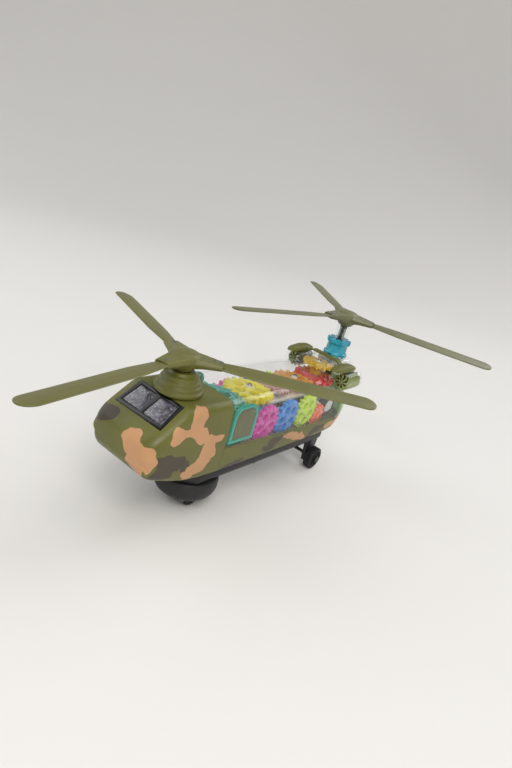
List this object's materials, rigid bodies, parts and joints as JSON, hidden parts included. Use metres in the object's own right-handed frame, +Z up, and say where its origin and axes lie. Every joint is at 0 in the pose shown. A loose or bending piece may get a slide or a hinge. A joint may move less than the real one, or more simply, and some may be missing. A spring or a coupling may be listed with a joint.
{
  "type": "toy tandem rotor helicopter",
  "caption": "Camouflage toy helicopter with tandem rotors geared together under a clear cover, tinted gears, side turbines and a swivelling drive unit.",
  "frame": {"origin": "on the ground under the middle of the whole toy, rotors included", "axes": "+Z up, nose towards -Y, tail towards +Y, port side towards +X"},
  "size_m": [0.2377, 0.4027, 0.1394],
  "materials": {
    "olive_hull": "moulded olive with printed camouflage",
    "black_plastic": "fine textured",
    "black_gloss": "gloss",
    "windshield_grey": "gloss printed insert",
    "teal_clear": "tinted see-through",
    "door_olive": "satin",
    "clear_plastic": "clear",
    "turbine_olive": "olive and black stripes",
    "rubber_black": "matt tread",
    "green_clear": "tinted see-through",
    "ivory_plastic": "satin",
    "motor_steel": "plated can",
    "board_green": "solder mask",
    "red_plastic": "satin",
    "cell_jacket": "printed jacket",
    "blade_olive": "moulded olive",
    "steel": "bright",
    "cyan_clear": "tinted see-through",
    "yellow_clear": "tinted see-through",
    "rosy_plastic": "satin",
    "amber_clear": "tinted see-through",
    "red_clear": "tinted see-through",
    "gold_plastic": "satin",
    "magenta_clear": "tinted see-through",
    "blue_clear": "tinted see-through",
    "lime_clear": "tinted see-through",
    "orange_clear": "tinted see-through"
  },
  "bodies": {
    "airframe": {"lower_hull": "olive_hull", "belly_chassis": "black_plastic", "nose_shell": "olive_hull", "windshield_frame": "black_gloss", "windshield_pane_port": "windshield_grey", "windshield_pane_starboard": "windshield_grey", "front_mast_fairing": "olive_hull", "fuselage_cover": "clear_plastic", "door_frame_port": "teal_clear", "door_frame_starboard": "teal_clear", "door_panel_port": "door_olive", "door_panel_starboard": "door_olive", "gear_deck": "ivory_plastic", "gear_frame": "ivory_plastic", "rear_pylon_cover": "clear_plastic", "tail_cap": "green_clear", "engine_cowls": "olive_hull", "nacelle_port": "clear_plastic", "nacelle_starboard": "clear_plastic", "battery_cell_1": "cell_jacket", "battery_cell_2": "cell_jacket", "battery_cell_3": "cell_jacket", "battery_door": "black_plastic", "speaker": "black_plastic", "circuit_board": "board_green", "drive_motor": "motor_steel", "rear_axle": "steel"},
    "front_rotor": {"front_mast": "steel", "front_hub": "blade_olive", "front_blade_1": "blade_olive", "front_blade_2": "blade_olive", "front_blade_3": "blade_olive", "front_mast_gear": "ivory_plastic"},
    "rear_rotor": {"rear_mast": "clear_plastic", "rear_hub": "blade_olive", "rear_blade_1": "blade_olive", "rear_blade_2": "blade_olive", "rear_blade_3": "blade_olive", "rear_crown_sleeve": "cyan_clear", "rear_mast_gear": "ivory_plastic"},
    "teal_idler": {"teal_gear": "teal_clear"},
    "yellow_idler": {"yellow_gear": "yellow_clear"},
    "rosy_idler": {"rosy_gear": "rosy_plastic"},
    "amber_idler": {"amber_gear": "amber_clear"},
    "red_gold_pair": {"red_gear": "red_clear", "gold_gear": "gold_plastic"},
    "magenta_axle": {"magenta_gear": "magenta_clear", "cyan_pinion": "cyan_clear"},
    "blue_axle": {"blue_gear": "blue_clear"},
    "lime_axle": {"lime_gear": "lime_clear"},
    "motor_pinion": {"orange_gear": "orange_clear"},
    "port_turbine": {"turbine_port": "turbine_olive"},
    "starboard_turbine": {"turbine_starboard": "turbine_olive"},
    "drive_swivel": {"drive_turntable": "black_plastic"},
    "drive_wheelset": {"drive_axle": "steel", "drive_wheel_port": "rubber_black", "drive_wheel_starboard": "rubber_black"},
    "port_rear_wheel": {"rear_wheel_port": "rubber_black"},
    "starboard_rear_wheel": {"rear_wheel_starboard": "rubber_black"},
    "power_switch": {"switch_knob": "red_plastic"}
  },
  "joints": [
    {"name": "front_rotor_spin", "type": "hinge", "parent": "airframe", "child": "front_rotor", "pos_m": [0, -0.076, 0.114], "axis": [0, 0, 1], "continuous": true},
    {"name": "rear_rotor_spin", "type": "hinge", "parent": "airframe", "child": "rear_rotor", "pos_m": [0, 0.116, 0.134], "axis": [0, 0, 1], "continuous": true},
    {"name": "teal_gear_spin", "type": "hinge", "parent": "airframe", "child": "teal_idler", "pos_m": [0, -0.04, 0.08], "axis": [0, 0, 1], "continuous": true},
    {"name": "yellow_gear_spin", "type": "hinge", "parent": "airframe", "child": "yellow_idler", "pos_m": [0, 0, 0.08], "axis": [0, 0, 1], "continuous": true},
    {"name": "rosy_gear_spin", "type": "hinge", "parent": "airframe", "child": "rosy_idler", "pos_m": [0, 0.031, 0.08], "axis": [0, 0, 1], "continuous": true},
    {"name": "amber_gear_spin", "type": "hinge", "parent": "airframe", "child": "amber_idler", "pos_m": [0, 0.06, 0.08], "axis": [0, 0, 1], "continuous": true},
    {"name": "red_gear_spin", "type": "hinge", "parent": "airframe", "child": "red_gold_pair", "pos_m": [0, 0.092, 0.08], "axis": [0, 0, 1], "continuous": true},
    {"name": "magenta_gear_spin", "type": "hinge", "parent": "airframe", "child": "magenta_axle", "pos_m": [0, 0, 0.064], "axis": [1, 0, 0], "continuous": true},
    {"name": "blue_gear_spin", "type": "hinge", "parent": "airframe", "child": "blue_axle", "pos_m": [0, 0.027, 0.064], "axis": [1, 0, 0], "continuous": true},
    {"name": "lime_gear_spin", "type": "hinge", "parent": "airframe", "child": "lime_axle", "pos_m": [0, 0.054, 0.064], "axis": [1, 0, 0], "continuous": true},
    {"name": "orange_gear_spin", "type": "hinge", "parent": "airframe", "child": "motor_pinion", "pos_m": [0, 0.07514, 0.05629], "axis": [1, 0, 0], "continuous": true},
    {"name": "port_turbine_spin", "type": "hinge", "parent": "airframe", "child": "port_turbine", "pos_m": [0.0255, 0.107, 0.086], "axis": [0, 1, 0], "continuous": true},
    {"name": "starboard_turbine_spin", "type": "hinge", "parent": "airframe", "child": "starboard_turbine", "pos_m": [-0.0255, 0.107, 0.086], "axis": [0, 1, 0], "continuous": true},
    {"name": "drive_unit_swivel", "type": "hinge", "parent": "airframe", "child": "drive_swivel", "pos_m": [0, -0.046, 0.02], "axis": [0, 0, 1], "continuous": true},
    {"name": "drive_wheel_spin", "type": "hinge", "parent": "drive_swivel", "child": "drive_wheelset", "pos_m": [0, -0.046, 0.009], "axis": [1, 0, 0], "continuous": true},
    {"name": "port_rear_wheel_spin", "type": "hinge", "parent": "airframe", "child": "port_rear_wheel", "pos_m": [0.023, 0.094, 0.01], "axis": [1, 0, 0], "continuous": true},
    {"name": "starboard_rear_wheel_spin", "type": "hinge", "parent": "airframe", "child": "starboard_rear_wheel", "pos_m": [-0.023, 0.094, 0.01], "axis": [1, 0, 0], "continuous": true},
    {"name": "switch_slide", "type": "slide", "parent": "airframe", "child": "power_switch", "axis": [1, 0, 0], "range_m": [0, 0.005]}
  ],
  "couplings": [
    {"joint": "rear_rotor_spin", "follows": "front_rotor_spin", "ratio": 0.875},
    {"joint": "teal_gear_spin", "follows": "front_rotor_spin", "ratio": -0.63636},
    {"joint": "yellow_gear_spin", "follows": "front_rotor_spin", "ratio": 0.77778},
    {"joint": "rosy_gear_spin", "follows": "front_rotor_spin", "ratio": -1.0769},
    {"joint": "amber_gear_spin", "follows": "front_rotor_spin", "ratio": 0.875},
    {"joint": "red_gear_spin", "follows": "front_rotor_spin", "ratio": -0.875},
    {"joint": "magenta_gear_spin", "follows": "front_rotor_spin", "ratio": -0.97222},
    {"joint": "blue_gear_spin", "follows": "front_rotor_spin", "ratio": 0.97222},
    {"joint": "lime_gear_spin", "follows": "front_rotor_spin", "ratio": -0.97222},
    {"joint": "orange_gear_spin", "follows": "front_rotor_spin", "ratio": 1.4583}
  ]
}
